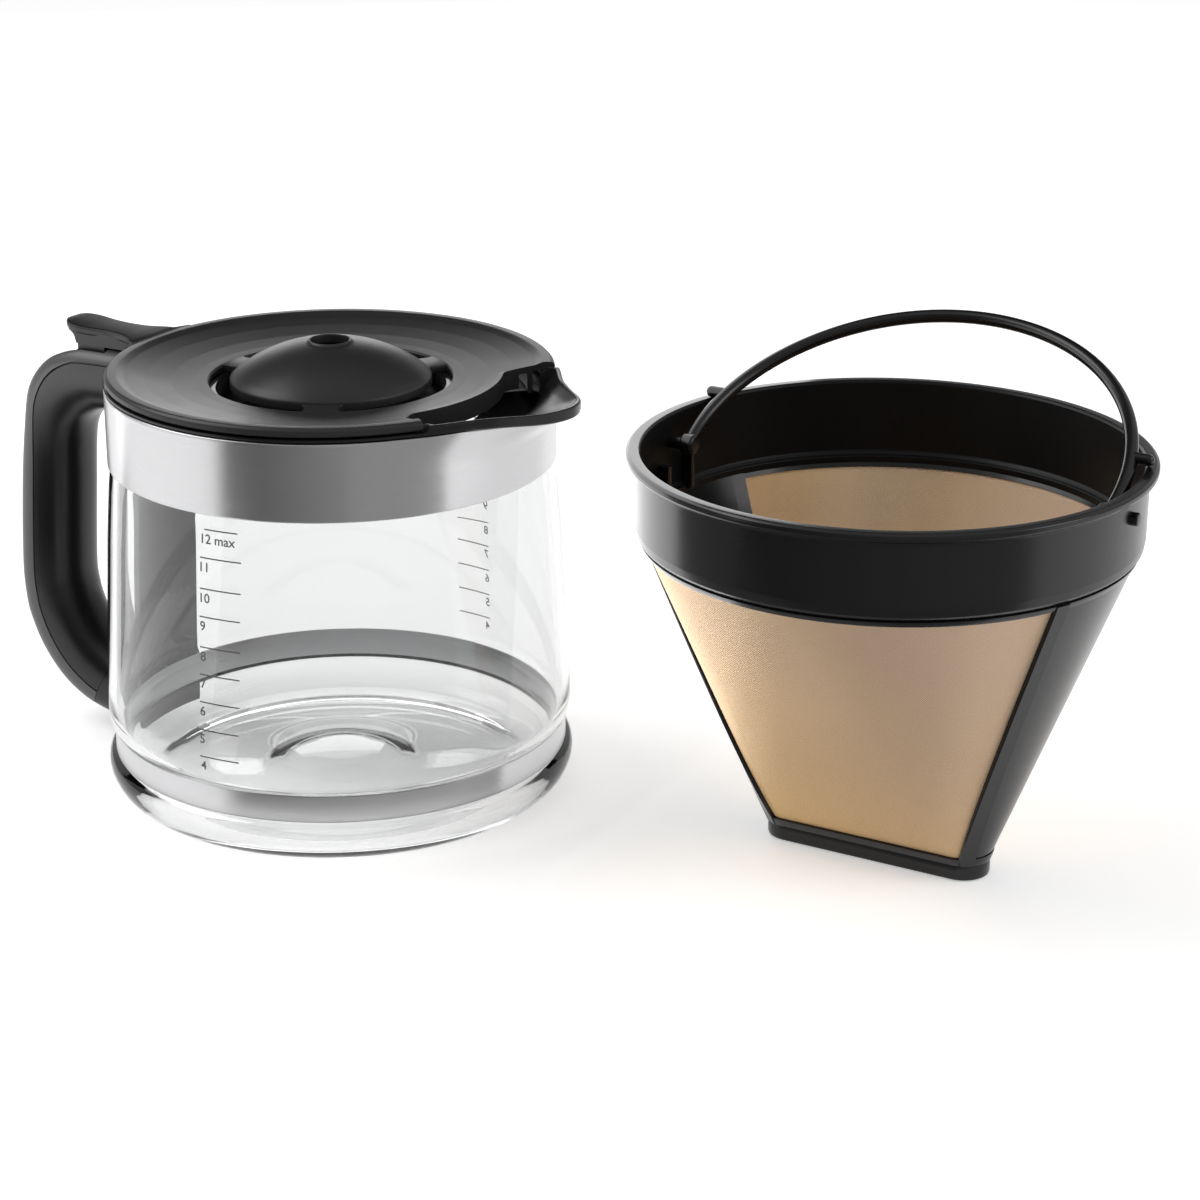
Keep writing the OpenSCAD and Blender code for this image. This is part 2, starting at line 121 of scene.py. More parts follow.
def fillet(points, steps=5):
    """Closed or open outline [(x, y, radius)] with its corners rounded."""
    out = []
    n = len(points)
    for i, (x, y, r) in enumerate(points):
        if r <= 0:
            out.append((x, y))
            continue
        p = Vector((x, y))
        a = Vector(points[i - 1][:2]) - p
        b = Vector(points[(i + 1) % n][:2]) - p
        la, lb = a.length, b.length
        a.normalize()
        b.normalize()
        ang = math.acos(max(-1, min(1, a.dot(b))))
        if ang > math.radians(178):
            out.append((x, y))
            continue
        t = min(r / math.tan(ang / 2), la * 0.49, lb * 0.49)
        rr = t * math.tan(ang / 2)
        mid = (a + b).normalized()
        c = p + mid * (rr / math.sin(ang / 2))
        s0 = p + a * t - c
        s1 = p + b * t - c
        a0 = math.atan2(s0.y, s0.x)
        a1 = math.atan2(s1.y, s1.x)
        d = (a1 - a0 + math.pi) % (2 * math.pi) - math.pi
        for k in range(steps + 1):
            q = a0 + d * k / steps
            out.append((c.x + rr * math.cos(q), c.y + rr * math.sin(q)))
    return out


def lathe(name, outline, mats, seg=192, sharp=38, place=None):
    """Turns a closed outline [(r, z)] about Z."""
    verts = [round_axis(r, 360 * i / seg, z) for i in range(seg) for r, z in outline]
    faces = []
    n = len(outline)
    for i in range(seg):
        j = (i + 1) % seg
        for k in range(n):
            after = (k + 1) % n
            faces.append((i * n + k, j * n + k, j * n + after, i * n + after))
    return make(name, verts, faces, mats, sharp=sharp, place=place)


def loft(name, rings, mats, closed_path=False, sharp=38, place=None):
    """Skin over rings of points, each ring closed, with caps unless the path closes too."""
    n = len(rings[0])
    verts = [p for ring in rings for p in ring]
    faces = []
    for i in range(len(rings) - (0 if closed_path else 1)):
        j = (i + 1) % len(rings)
        for k in range(n):
            after = (k + 1) % n
            faces.append((i * n + k, i * n + after, j * n + after, j * n + k))
    if not closed_path:
        faces.append(tuple(reversed(range(n))))
        faces.append(tuple((len(rings) - 1) * n + k for k in range(n)))
    return make(name, verts, faces, mats, sharp=sharp, place=place)


def prism(name, outline, z0, z1, mats=(), place=None, axis="Z"):
    """Solid with a flat outline [(x, y)] from z0 to z1; axis Y makes it (x, z) across y."""
    n = len(outline)
    lo = [(x, y, z0) for x, y in outline]
    hi = [(x, y, z1) for x, y in outline]
    verts = lo + hi
    if axis == "Y":
        verts = [(x, z, y) for x, y, z in verts]
    faces = [tuple(reversed(range(n))), tuple(range(n, 2 * n))]
    faces += [(k, (k + 1) % n, n + (k + 1) % n, n + k) for k in range(n)]
    return make(name, verts, faces, list(mats), place=place)


def settle(ob):
    """Applies the modifiers of ob."""
    dg = bpy.context.evaluated_depsgraph_get()
    me = bpy.data.meshes.new_from_object(ob.evaluated_get(dg))
    ob.modifiers.clear()
    old = ob.data
    ob.data = me
    me.name = ob.name
    bpy.data.meshes.remove(old)


def carve(ob, cutter, sharp=38):
    """Takes the cutter's shape out of ob."""
    m = ob.modifiers.new("cut", "BOOLEAN")
    m.object = cutter
    m.operation = "DIFFERENCE"
    m.solver = "EXACT"
    settle(ob)
    me = cutter.data
    bpy.data.objects.remove(cutter)
    bpy.data.meshes.remove(me)
    finish_shading(ob, sharp)


def join(a, *others, sharp=38):
    """Adds the meshes of others to a, as loose shells."""
    bm = bmesh.new()
    bm.from_mesh(a.data)
    for o in others:
        bm.from_mesh(o.data)
        me = o.data
        bpy.data.objects.remove(o)
        bpy.data.meshes.remove(me)
    bm.to_mesh(a.data)
    bm.free()
    finish_shading(a, sharp)
    return a


# ---------------------------------------------------------------- materials


class Nodes:
    """A small wrapper that builds a material's node tree."""

    def __init__(self, name):
        self.mat = bpy.data.materials.new(name)
        self.mat.use_nodes = True
        self.tree = self.mat.node_tree
        self.shader = self.tree.nodes["Principled BSDF"]

    def add(self, kind, **values):
        node = self.tree.nodes.new(kind)
        for key, value in values.items():
            if key in node.inputs:
                node.inputs[key].default_value = value
            else:
                setattr(node, key, value)
        return node

    def feed(self, source, socket):
        """Links an output to the socket, or gives the socket a plain value."""
        if isinstance(source, bpy.types.NodeSocket):
            self.tree.links.new(source, socket)
        else:
            socket.default_value = source

    def place(self):
        return self.add("ShaderNodeTexCoord").outputs["Object"]

    def split(self, vector):
        """The X, Y and Z of a vector."""
        node = self.add("ShaderNodeSeparateXYZ")
        self.feed(vector, node.inputs[0])
        return node.outputs["X"], node.outputs["Y"], node.outputs["Z"]

    def noise(self, vector, scale, detail, rough=0.5):
        node = self.add("ShaderNodeTexNoise", Scale=scale, Detail=detail, Roughness=rough)
        self.feed(vector, node.inputs["Vector"])
        return node.outputs["Fac"]

    def math(self, operation, *sources, clamp=False):
        node = self.add("ShaderNodeMath", operation=operation, use_clamp=clamp)
        for source, socket in zip(sources, node.inputs):
            self.feed(source, socket)
        return node.outputs[0]

    def ramp(self, source, low, high, start=0.0, end=1.0):
        """Maps start to end of the source on low to high."""
        node = self.add("ShaderNodeMapRange")
        names = ("Value", "From Min", "From Max", "To Min", "To Max")
        for key, value in zip(names, (source, start, end, low, high)):
            self.feed(value, node.inputs[key])
        return node.outputs["Result"]

    def blend(self, factor, one, two, mode="MIX"):
        node = self.add("ShaderNodeMix", data_type="RGBA", blend_type=mode)
        for index, source in ((0, factor), (6, one), (7, two)):
            self.feed(source, node.inputs[index])
        return node.outputs[2]

    def bump(self, height, strength, distance):
        node = self.add("ShaderNodeBump", Strength=strength, Distance=distance)
        self.feed(height, node.inputs["Height"])
        self.set(Normal=node.outputs["Normal"])

    def set(self, **sources):
        """Feeds the shader's own sockets."""
        for key, source in sources.items():
            self.feed(source, self.shader.inputs[key.replace("_", " ")])


def tone(color, factor=1.0):
    return (*[min(1, c * factor) for c in color], 1)


def plastic(name, color, rough, grain=3500.0, grain_bump=0.06, rough_span=0.08, spec=0.5):
    """Moulded plastic: fine spark-eroded grain, faint flow clouds and uneven gloss."""
    m = Nodes(name)
    where = m.place()
    cloud = m.noise(where, 38.0, 4.0, 0.55)
    m.bump(m.noise(where, grain, 3.0, 0.6), grain_bump, 0.0002)
    m.set(
        Base_Color=m.blend(cloud, tone(color, 0.85), tone(color, 1.15)),
        Roughness=m.ramp(cloud, rough - rough_span, rough + rough_span),
        Specular_IOR_Level=spec,
    )
    return m.mat


def brushed(name, color, rough, strength=0.25):
    """Steel brushed round the Z axis: long fine scratches, uneven in gloss and tone."""
    m = Nodes(name)
    x, y, z = m.split(m.place())
    turn = m.math("ARCTAN2", y, x)

    def streaks(along, across, detail):
        row = m.add("ShaderNodeCombineXYZ")
        m.feed(m.math("MULTIPLY", turn, along), row.inputs["X"])
        m.feed(m.math("MULTIPLY", z, across), row.inputs["Y"])
        return m.noise(row.outputs[0], 1.0, detail, 0.7)

    fine = streaks(9.0, 5200.0, 5.0)
    broad = streaks(3.0, 900.0, 3.0)
    tangent = m.add("ShaderNodeTangent", direction_type="RADIAL", axis="Z")
    m.bump(fine, strength, 0.00006)
    m.set(
        Base_Color=m.blend(fine, tone(color, 0.86), tone(color, 1.1)),
        Roughness=m.ramp(broad, rough - 0.08, rough + 0.1),
        Tangent=tangent.outputs["Tangent"],
        Metallic=1.0,
        Anisotropic=0.85,
        Anisotropic_Rotation=0.25,
    )
    return m.mat


def clear_glass(name):
    """Clear blown glass with a faint ripple."""
    m = Nodes(name)
    m.bump(m.noise(m.place(), 26.0, 1.0), 0.03, 0.0015)
    m.set(Base_Color=(0.858, 0.863, 0.863, 1), Roughness=0.0, IOR=1.47, Transmission_Weight=1.0)
    return m.mat


def mesh_gold(name):
    """Gold tone woven mesh: two thread directions on the panel's own UVs, with pin holes, and painted
    light across the panel.
    """
    m = Nodes(name)
    u, v, _ = m.split(m.add("ShaderNodeUVMap", uv_map="weave").outputs["UV"])

    def threads(axis):
        return m.math("SINE", m.math("MULTIPLY", axis, 2 * math.pi))

    thread = m.math("MAXIMUM", threads(m.math("ADD", u, v)), threads(m.math("SUBTRACT", u, v)))
    where = m.place()
    x, _, z = m.split(where)
    # Painted light: lighter and more golden towards the left and the bottom, greyer and darker to the
    # right and top; the noise adds uneven tone.
    painted_light_and_tone = m.math("ADD", m.ramp(x, 0.0, 0.62, 0.125, 0.215), m.ramp(z, -0.25, 0.25, 0.01, 0.09))
    painted_light_and_tone = m.math("MULTIPLY_ADD", m.noise(where, 14.0, 3.0), 0.4, painted_light_and_tone, clamp=True)
    hue = m.blend(painted_light_and_tone, (0.96, 0.64, 0.29, 1), (0.70, 0.505, 0.355, 1))
    m.bump(thread, 0.5, 0.0002)
    m.set(
        Base_Color=m.blend(1.0, hue, m.ramp(thread, 0.45, 1.08, -1.0), "MULTIPLY"),
        Alpha=m.ramp(thread, 0.25, 1.0, -0.75, -0.25),
        Metallic=0.55,
        Roughness=0.42,
    )
    return m.mat


def paint(name, color):
    """Printed enamel marks, a little uneven."""
    m = Nodes(name)
    m.set(Base_Color=m.blend(m.noise(m.place(), 900.0, 2.0), tone(color), tone(color, 1.8)), Roughness=0.5)
    return m.mat


M_GLASS = clear_glass("jug_glass")
M_STEEL = brushed("band_steel", (0.66, 0.66, 0.67), 0.30)
M_CLIP = brushed("clip_steel", (0.6, 0.6, 0.61), 0.35)
M_LID = plastic("lid_plastic", (0.019, 0.019, 0.0195), 0.36, spec=0.30)
M_PAD = plastic("pad_plastic", (0.009, 0.009, 0.0095), 0.45, spec=0.08)
M_GLOSS = plastic(
    "gloss_plastic", (0.008, 0.008, 0.0085), 0.15, grain=900, grain_bump=0.02, rough_span=0.04, spec=0.4)
M_COLLAR = plastic("collar_plastic", (0.0055, 0.0055, 0.0058), 0.26, grain_bump=0.03, spec=0.38)
M_GRIP = plastic("grip_plastic", (0.0065, 0.0065, 0.0068), 0.34, spec=0.42)
M_SPINE = plastic("spine_plastic", (0.055, 0.055, 0.057), 0.36, spec=0.5)
M_PLATE = plastic("plate_plastic", (0.016, 0.016, 0.017), 0.5, spec=0.35)
M_RIM = plastic("rim_plastic", (0.0042, 0.0042, 0.0045), 0.24, spec=0.45)
M_INNER = plastic("inner_plastic", (0.0036, 0.0036, 0.0039), 0.38, grain_bump=0.03, spec=0.2)
M_FRAME = plastic("frame_plastic", (0.0045, 0.0045, 0.0048), 0.22, grain_bump=0.03, spec=0.42)
M_BAIL = plastic("bail_plastic", (0.0045, 0.0045, 0.0048), 0.24, grain_bump=0.03, spec=0.4)
M_MESH = mesh_gold("mesh_weave")
M_INK = paint("level_ink", (0.06, 0.06, 0.065))
M_INK_PALE = paint("level_ink_pale", (0.34, 0.34, 0.35))
M_SCREW = brushed("screw_metal", (0.62, 0.62, 0.63), 0.3, strength=0.1)
M_BRASS = brushed("nut_brass", (0.75, 0.56, 0.25), 0.3, strength=0.1)
M_GASKET = plastic("gasket_silicone", (0.30, 0.31, 0.32), 0.55)
M_BUSH = plastic("bush_nylon", (0.75, 0.75, 0.72), 0.4)

for node, mat in {
    "lower_band_clip": M_CLIP, "band_bracket": M_CLIP, "collar_gasket": M_GASKET, "handle_plate": M_PLATE,
    "plate_screws": M_SCREW, "plate_nuts": M_BRASS, "hinge_pin": M_SCREW, "hinge_bushes": M_BUSH,
    "lid_basin": M_GLOSS, "lid_screws": M_SCREW, "handle_grip": M_GRIP, "handle_spine": M_SPINE,
    "lid_cover": M_LID, "spout_collar": M_COLLAR, "upper_band": M_STEEL, "lower_band": M_STEEL,
    "glass_jug": M_GLASS, "filter_rim": M_RIM, "filter_frame": M_FRAME, "filter_foot": M_FRAME,
    "mesh_front": M_MESH, "mesh_back": M_MESH, "bail_handle": M_BAIL,
}.items():
    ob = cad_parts[node]
    if not ob.material_slots:
        ob.data.materials.append(mat)
    for s in ob.material_slots:
        s.material = mat

# -------------------------------------------------------------- camera, light

CAMERA_TURN = 30
CAMERA_DOWN = 20.11

cam_data = bpy.data.cameras.new("camera")
cam_data.lens = 90
cam_data.sensor_width = 36
cam_data.clip_end = 100
cam = bpy.data.objects.new("camera", cam_data)
scene.collection.objects.link(cam)
cam.location = (0.5306, -0.7491, 0.3956)
cam.rotation_euler = (math.radians(90 - CAMERA_DOWN), 0, math.radians(CAMERA_TURN))
scene.camera = cam

world = bpy.data.worlds.new("studio")
scene.world = world
world.use_nodes = True
world.node_tree.nodes["Background"].inputs["Color"].default_value = (1, 1, 1, 1)
world.node_tree.nodes["Background"].inputs["Strength"].default_value = 0.55
scene.view_settings.view_transform = "Standard"

paper = Nodes("floor_paper")
speckle = paper.noise(paper.place(), 300.0, 3.0)
paper.set(
    Base_Color=paper.blend(speckle, (0.93, 0.93, 0.93, 1), (0.95, 0.95, 0.95, 1)),
    Roughness=0.9,
    Specular_IOR_Level=0.1,
    Emission_Color=(1, 1, 1, 1),
    Emission_Strength=0.37,
)
bpy.ops.mesh.primitive_plane_add(size=60, location=(0, 0, -0.0002))
floor = bpy.context.object
floor.name = "floor"
floor.data.materials.append(paper.mat)


def area(name, place, target, size, power):
    """Square lamp that faces the target."""
    lamp = bpy.data.lights.new(name, "AREA")
    lamp.energy = power
    lamp.shape = "SQUARE"
    lamp.size = size
    ob = bpy.data.objects.new(name, lamp)
    ob.location = place
    ob.rotation_euler = (Vector(target) - Vector(place)).to_track_quat("-Z", "Y").to_euler()
    scene.collection.objects.link(ob)


area("key", (-0.9, -0.35, 1.2), (0.05, 0, 0.08), 0.9, 9)
area("fill_right", (1.5, 0.3, 0.9), (0.1, 0, 0.08), 0.8, 6)
area("back", (-0.9, 1.2, 0.5), (0.1, 0, 0.12), 0.7, 3)


def staged_card(name, verts, faces, darkest, glow):
    """Glowing card that only shiny surfaces see; a glow of two values runs along X."""
    m = Nodes(name + "_paper")
    where = m.place()
    if isinstance(glow, tuple):
        glow = m.ramp(m.split(where)[0], *glow, -0.15, 0.65)
    m.set(
        Base_Color=(0, 0, 0, 1),
        Roughness=1.0,
        Specular_IOR_Level=0.0,
        Emission_Color=m.blend(m.noise(where, 3.0, 2.0), tone([darkest] * 3), (1, 1, 1, 1)),
        Emission_Strength=glow,
    )
    ob = make(name, verts, faces, m.mat)
    ob.visible_camera = False
    ob.visible_diffuse = False
    ob.visible_shadow = False
    ob.visible_transmission = False


def swept_card(name, path, bearing, half, glow):
    """Card with the side view path [(radius, z)], swept about the carafe."""
    seg, n = 40, len(path)
    verts = [
        round_axis(r, bearing - half + 2 * half * i / seg, z)
        for i in range(seg + 1) for r, z in path
    ]
    faces = [
        (i * n + k, (i + 1) * n + k, (i + 1) * n + k + 1, i * n + k + 1)
        for i in range(seg) for k in range(n - 1)
    ]
    staged_card(name, verts, faces, 0.92, glow)


def flat_card(name, low, high, glow):
    """Upright card between two opposite corners."""
    corners = [low, (high[0], high[1], low[2]), high, (low[0], low[1], high[2])]
    staged_card(name, corners, [(0, 1, 2, 3)], 0.94, glow)


swept_card("front_card", [(210, 0.4), (700, 0.4), (760, 60), (780, 900)], -54.7, 54.5, (0.05, 0.42))
swept_card("near_card", [(104, 0.4), (210, 0.4)], -46, 50, (0.25, 0.5))
swept_card("far_card", [(900, 420), (820, 900), (500, 1300)], 125, 48, (0.03, 0.03))
flat_card("grey_left", (94.2, -110, 1), (94.2, -31, 190), 0.34)
flat_card("white_left", (94.4, -31, 1), (94.4, 150, 190), 1.0)
flat_card("white_right", (95.2, -40, 1), (95.2, 150, 190), 2.6)
flat_card("grey_low", (94.3, -31.5, 1), (94.3, -3, 32), 0.36)
flat_card("handle_dark", (-172, -52, 30), (-92, -52, 93), 0.03)
flat_card("handle_light", (-210, -52, 97), (-92, -52, 150), 2.6)

# ---------------------------------------------------------------- glass jug

# Outline of the glass, from the middle of the base up the outside and down the inside
GLASS_OUTER = [
    (0.0, 8.2), (8, 8.1), (14, 7.4), (19, 5.4), (23, 3.2), (28, 1.9), (40, 1.0), (56, 0.7), (60, 0.5),
    (62, 0.0), (64, 0.0), (67.1, 0.41), (70, 1.6), (72.5, 3.51), (74.4, 6.0), (75.6, 8.9), (75.9, 11.2),
    (75.5, 13.2), (74.7, 14.1), (73.5, 14.5), (72.9, 15.2), (72.9, 23.5), (73.4, 24.2), (74.5, 25.0),
    (75.2, 27.0), (75.3, 30), (75.15, 36), (74.5, 50), (73.6, 68), (72.5, 88), (71.2, 104), (70.6, 109),
    (70.3, 113), (69.9, 116), (69.8, 118), (69.8, 125.2), (69.2, 125.9),
]
GLASS_INNER = [
    (67.9, 126), (67.2, 125.4), (67.2, 116), (67.9, 109), (68.5, 104), (69.8, 88), (70.9, 68),
    (71.8, 50), (72.5, 36), (72.7, 30), (72.3, 27), (70.9, 24.8), (70.3, 23), (70.3, 16), (71.2, 13.8),
    (71.6, 11.4), (70.6, 8.4), (68, 5.8), (64, 4.6), (56, 4.2), (40, 4.4), (28, 5.3), (22, 7.2),
    (17, 9.4), (10, 10.8), (0, 11.1),
]
jug = lathe("jug_body", GLASS_OUTER + GLASS_INNER, M_GLASS, seg=256, sharp=60)
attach(jug, "carafe")
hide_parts("glass_jug")
jug.visible_shadow = False

# -------------------------------------------------------------- steel bands

strip = fillet([(72.93, 15.0, 0.1), (73.6, 15.0, 0.3), (73.6, 23.7, 0.3), (72.93, 23.7, 0.1)], 3)
low = lathe("band_low", strip, M_STEEL, seg=256)
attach(low, "carafe")
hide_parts("lower_band")

BAND_R = 71.2
BAND_LOW, BAND_TOP = 111.0, 135.4
BAND_WALL = 0.6

# Outline of the pouring lip at its top, as a radius for each angle from the spout
LIP = [
    (0, 89.2), (2, 88.8), (5, 87.4), (8, 84.8), (11, 81.5), (14.6, 78.2), (20, 74.8), (24.5, 73.4),
    (30, 72.4), (35, 71.6), (40, BAND_R),
]
LIP_END = 40


def from_spout(deg):
    """Angle from the spout, 0 to 180."""
    return abs((deg + 180) % 360 - 180)


def lip_r(deg):
    d = from_spout(deg)
    return curve(LIP, d) if d < LIP_END else BAND_R


def band_r(deg, z):
    """Radius of the band's outside: round below, following the lip's outline at the top."""
    d = from_spout(deg)
    if d >= LIP_END:
        return BAND_R
    k = smoothstep(124.5, 137.5, z) ** 1.1
    reach = curve(LIP, d) - 3.2 * smoothstep(26, 5, d)
    return max(BAND_R, lerp(BAND_R, reach + 1.0 * smoothstep(26, 5, d), k))


def band_shell():
    zs = [BAND_LOW, BAND_LOW + 0.25]
    zs += [111.6 + (135.15 - 111.6) * i / 30 for i in range(31)] + [BAND_TOP]
    rings = []
    n = 288
    for i in range(n):
        a = 360 * i / n
        outline = []
        for z in zs:
            edge_inset = 0.25 if z in (BAND_LOW, BAND_TOP) else 0.0
            outline.append((band_r(a, z) - edge_inset, z))
        for z in reversed(zs):
            outline.append((band_r(a, z) - BAND_WALL, z))
        rings.append([round_axis(r, a, z) for r, z in outline])
    return loft("band_top", rings, M_STEEL, closed_path=True, sharp=50)


band = band_shell()
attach(band, "carafe")
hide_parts("upper_band")

# ------------------------------------------------------------- spout collar


# Radius of the collar's bore, and half the angle that the trough's floor covers
BORE_R = 65.8
TROUGH_HALF = 46


def collar_outline(a):
    """Section of the collar at angle a: up its outside, over the top and down its bore."""
    d = from_spout(a)
    up = smoothstep(32.3, 31.0, d)
    out = lerp(BAND_R, lip_r(a), smoothstep(41, 34, d))
    top = lerp(136.8, 138.8, up) + 0.5 * smoothstep(12, 0, d)
    low_z = BAND_TOP + 0.05
    is_open = smoothstep(31.6, 30.4, d)
    inner_top = lerp(BORE_R, out - 1.5, is_open)
    outline = [(band_r(a, z) - 0.75, z) for z in (127.2, 129.2, 131.2, 133.2, 134.6, low_z)]
    outline += [
        (out - 0.9, low_z), (out - 0.2, low_z + 0.45), (out, low_z + 1.2), (out, top - 0.5),
        (out - 0.2, top - 0.15), (out - 0.6, top),
        (inner_top + 0.5, top), (inner_top + 0.12, top - 0.12), (inner_top, top - 0.5),
    ]
    if is_open > 0.5:
        run = inner_top - 66.0
        slope = [(66.0 + run * f, 130.4 + 6.9 * f**0.9) for f in (0.88, 0.66, 0.42, 0.2, 0.03)]
        outline += slope + [(65.0, 128.6)]
    else:
        outline += [(BORE_R, z) for z in (135.9, 135.0, 134, 133.2, 131.0, 129.6)]
    return outline + [(64.8, 126), (64.8, 119.4), (66.5, 119.2), (66.5, 126.7), (68.6, 126.7)]


def collar_shell():
    """Ring on the jug's mouth that opens out into the pouring spout, and the trough's floor."""
    angles = range(360)
    rings = [[round_axis(r, a, z) for r, z in collar_outline(a)] for a in angles]
    ring = loft("collar_ring", rings, M_COLLAR, closed_path=True, sharp=28)
    slab = ((48, 125), (48, 126.5), (65.6, 126.5), (65.6, 125))
    sweep = [lerp(-TROUGH_HALF, TROUGH_HALF, k / 30) for k in range(31)]
    floor_rings = [[round_axis(r, a, z) for r, z in slab] for a in sweep]
    return join(ring, loft("trough_floor", floor_rings, M_COLLAR, sharp=28), sharp=28)


collar = collar_shell()
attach(collar, "carafe")
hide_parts("spout_collar")

# ---------------------------------------------------------------------- lid

# Disc, dome and tabs are drawn LIFT lower than they sit. HALF is half the cut-out's angle.
SLOT_R, DOME_R, CUT_R, HALF, LIFT = 38.4, 31.9, 54.5, 32.5, 0.9


def cut_outline(r_in=CUT_R, half=HALF, rho=5.0):
    """Outline of the cut-out over the spout: an arc, two round corners and the open side."""
    rc = r_in + rho
    ph = half - math.degrees(math.asin(rho / rc))
    pts = []
    for k in range(33):
        a = math.radians(-ph + 2 * ph * k / 32)
        pts.append((r_in * math.cos(a), r_in * math.sin(a)))

    def corner(sign):
        cx, cy = rc * math.cos(math.radians(ph)), rc * math.sin(math.radians(ph)) * sign
        out = []
        for k in range(1, 9):
            b = math.radians(180 + ph - (90 - (half - ph)) * k / 8)
            out.append((cx + rho * math.cos(b), cy + sign * rho * math.sin(b)))
        return out

    far = 80.0
    hi = [(far * math.cos(math.radians(half)), far * math.sin(math.radians(half)))]
    lo = [(hi[0][0], -hi[0][1])]
    return pts + corner(1) + hi + [(92, hi[0][1]), (92, -hi[0][1])] + lo + list(reversed(corner(-1)))


disc_outline = fillet([
    (SLOT_R, 133.0, 0.3), (44, 133.0, 0), (50, 133.1, 3), (60.5, 135.3, 1), (62.0, 135.4, 0.3),
    (62.0, 129, 0.3), (63.6, 129, 0.3), (63.6, 136.4, 0.5), (70.5, 136.4, 0.3), (70.85, 137.0, 0.5),
    (70.8, 138.3, 0.6), (69.9, 139.2, 1.0), (67.0, 139.2, 2.5), (64.6, 138.2, 4.0), (58, 136.9, 8),
    (50, 135.8, 10), (43, 135.25, 6), (39.0, 135.15, 0.5), (SLOT_R, 134.7, 0.3),
], 5)
# The second material is for the lever's pad, which joins this mesh
disc = lathe("lid_disc", [(r, z + LIFT) for r, z in disc_outline], [M_LID, M_PAD], seg=288)
carve(disc, prism("cutter", cut_outline(), 120, 150, [M_LID]), sharp=34)


def cut_wall(thick=1.7):
    """Wall that hangs from the cut-out's edge."""
    edge = [p for p in cut_outline(CUT_R, HALF - 0.6) if math.hypot(*p) < 66]
    edge.sort(key=lambda p: math.atan2(p[1], p[0]))
    rings = []
    for x, y in edge:
        k = 1 - thick / math.hypot(x, y)
        rings.append([(x, y, 131.3), (x, y, 137.8), (x * k, y * k, 137.5), (x * k, y * k, 131.3)])
    return loft("cut_wall", rings, M_LID)


DOME_TOP, DOME_EDGE = 147.3, 135.9
dome_rise = DOME_TOP - DOME_EDGE
dome_ball = (DOME_R**2 + dome_rise**2) / (2 * dome_rise)
ball_z = DOME_TOP - dome_ball


def on_ball(r, inset=0.0):
    """Height of the dome at radius r."""
    return ball_z + math.sqrt((dome_ball - inset) ** 2 - r * r)


def lid_dome():
    """Dome with the raised ring round its drip hole."""
    outline = [
        (DOME_R - 2.0, 132.8), (DOME_R - 0.3, 132.8), (DOME_R, 133.1), (DOME_R, 135.2),
        (DOME_R - 0.15, 135.7), (DOME_R - 0.6, 136.1),
    ]
    outline += [(r, on_ball(r)) for r in [30.4 - (30.4 - 7.4) * k / 22 for k in range(23)]]
    hole_z = on_ball(7)
    outline += [
        (7.1, on_ball(7.1) + 0.18), (6.8, hole_z + 0.5), (6.4, hole_z + 0.56), (6.1, hole_z + 0.35),
        (6.0, 146.6), (6.0, 144.7),
    ]
    outline += [(r, on_ball(r, 2.0)) for r in [7 + (29.4 - 7) * k / 14 for k in range(15)]]
    outline += [(DOME_R - 2.0, 134.2)]
    return lathe("lid_dome", [(r, z + LIFT + 0.05) for r, z in outline], M_LID, seg=192)


dome = lid_dome()


def tab(angle):
    """Bridge from the dome to the disc, flared at both ends."""
    rings = []
    for k in range(15):
        t = k / 14
        r = lerp(DOME_R - 1.2, SLOT_R + 1.0, t)
        flare = 1.6 * (abs(2 * t - 1) ** 3)
        h = 5.3 + flare
        z1 = lerp(135.25, 135.12, t)
        prof = fillet([(-h, 132.9, 0.2), (h, 132.9, 0.2), (h, z1, 0.4), (-h, z1, 0.4)], 3)
        rings.append([(r, y, z + LIFT) for y, z in prof])
    return loft("tab", rings, M_LID, place=turned(angle))


tabs = [tab(a) for a in (180, 60, -60)]


HINGE_X, HINGE_Z = -90, 127.5
# The pad's round nose: its centre, its radius, and where it has run out into the sides
NOSE_X, NOSE_R, NOSE_END = -96.6, 7.5, -90
PAD_END = -70.5


def lever_pad():
    """Thumb pad with a round nose, wide where it meets the lid."""
    top = [
        (-104.2, 142.1), (-102.6, 142.5), (-98, 141.9), (-92, 141.4), (-82, 141.15), (-74, 140.9),
        (-70.4, 140.35), (-68.4, 140.1),
    ]
    under = [(-104.2, 141.3), (-102.6, 140.2), (-98, 139.3), (-92, 138.6), (-82, 138.2), (-68.4, 138.1)]
    half = [(-92, 6.9), (-84, 6.3), (-79, 6.7), (-75, 8.0), (-71.5, 11.0), (-69.5, 14.5), (-68.4, 17.5)]
    xs = [-104.1 + NOSE_R * (1 - math.cos(math.pi / 2 * k / 10)) for k in range(11)]
    xs += [NOSE_X + 28.2 * k / 30 for k in range(1, 31)]
    rings = []
    for x in xs:
        if x < NOSE_X:
            h = max(0.25, NOSE_R * math.sqrt(max(0, 1 - ((x - NOSE_X) / 7.52) ** 2)))
        elif x < NOSE_END:
            h = lerp(NOSE_R, curve(half, x), smoothstep(NOSE_X, NOSE_END, x))
        else:
            h = curve(half, x)
        zt, zb = curve(top, x), curve(under, x)
        e = min(0.9, h * 0.6, (zt - zb) * 0.4)
        prof = fillet([(-h, zb, e), (h, zb, e), (h, zt, e), (-h, zt, e)], 4)
        pull = [max(0.0, math.hypot(x, y) - 70.6) if x > -72 else 0.0 for y, z in prof]
        rings.append([(x + q, y, z) for q, (y, z) in zip(pull, prof)])
    pad = loft("pad", rings, [M_LID, M_PAD], sharp=45)
    for p in pad.data.polygons:
        p.material_index = 1 if p.normal.z > 0.75 and p.center.x < PAD_END * MM else 0
    return pad


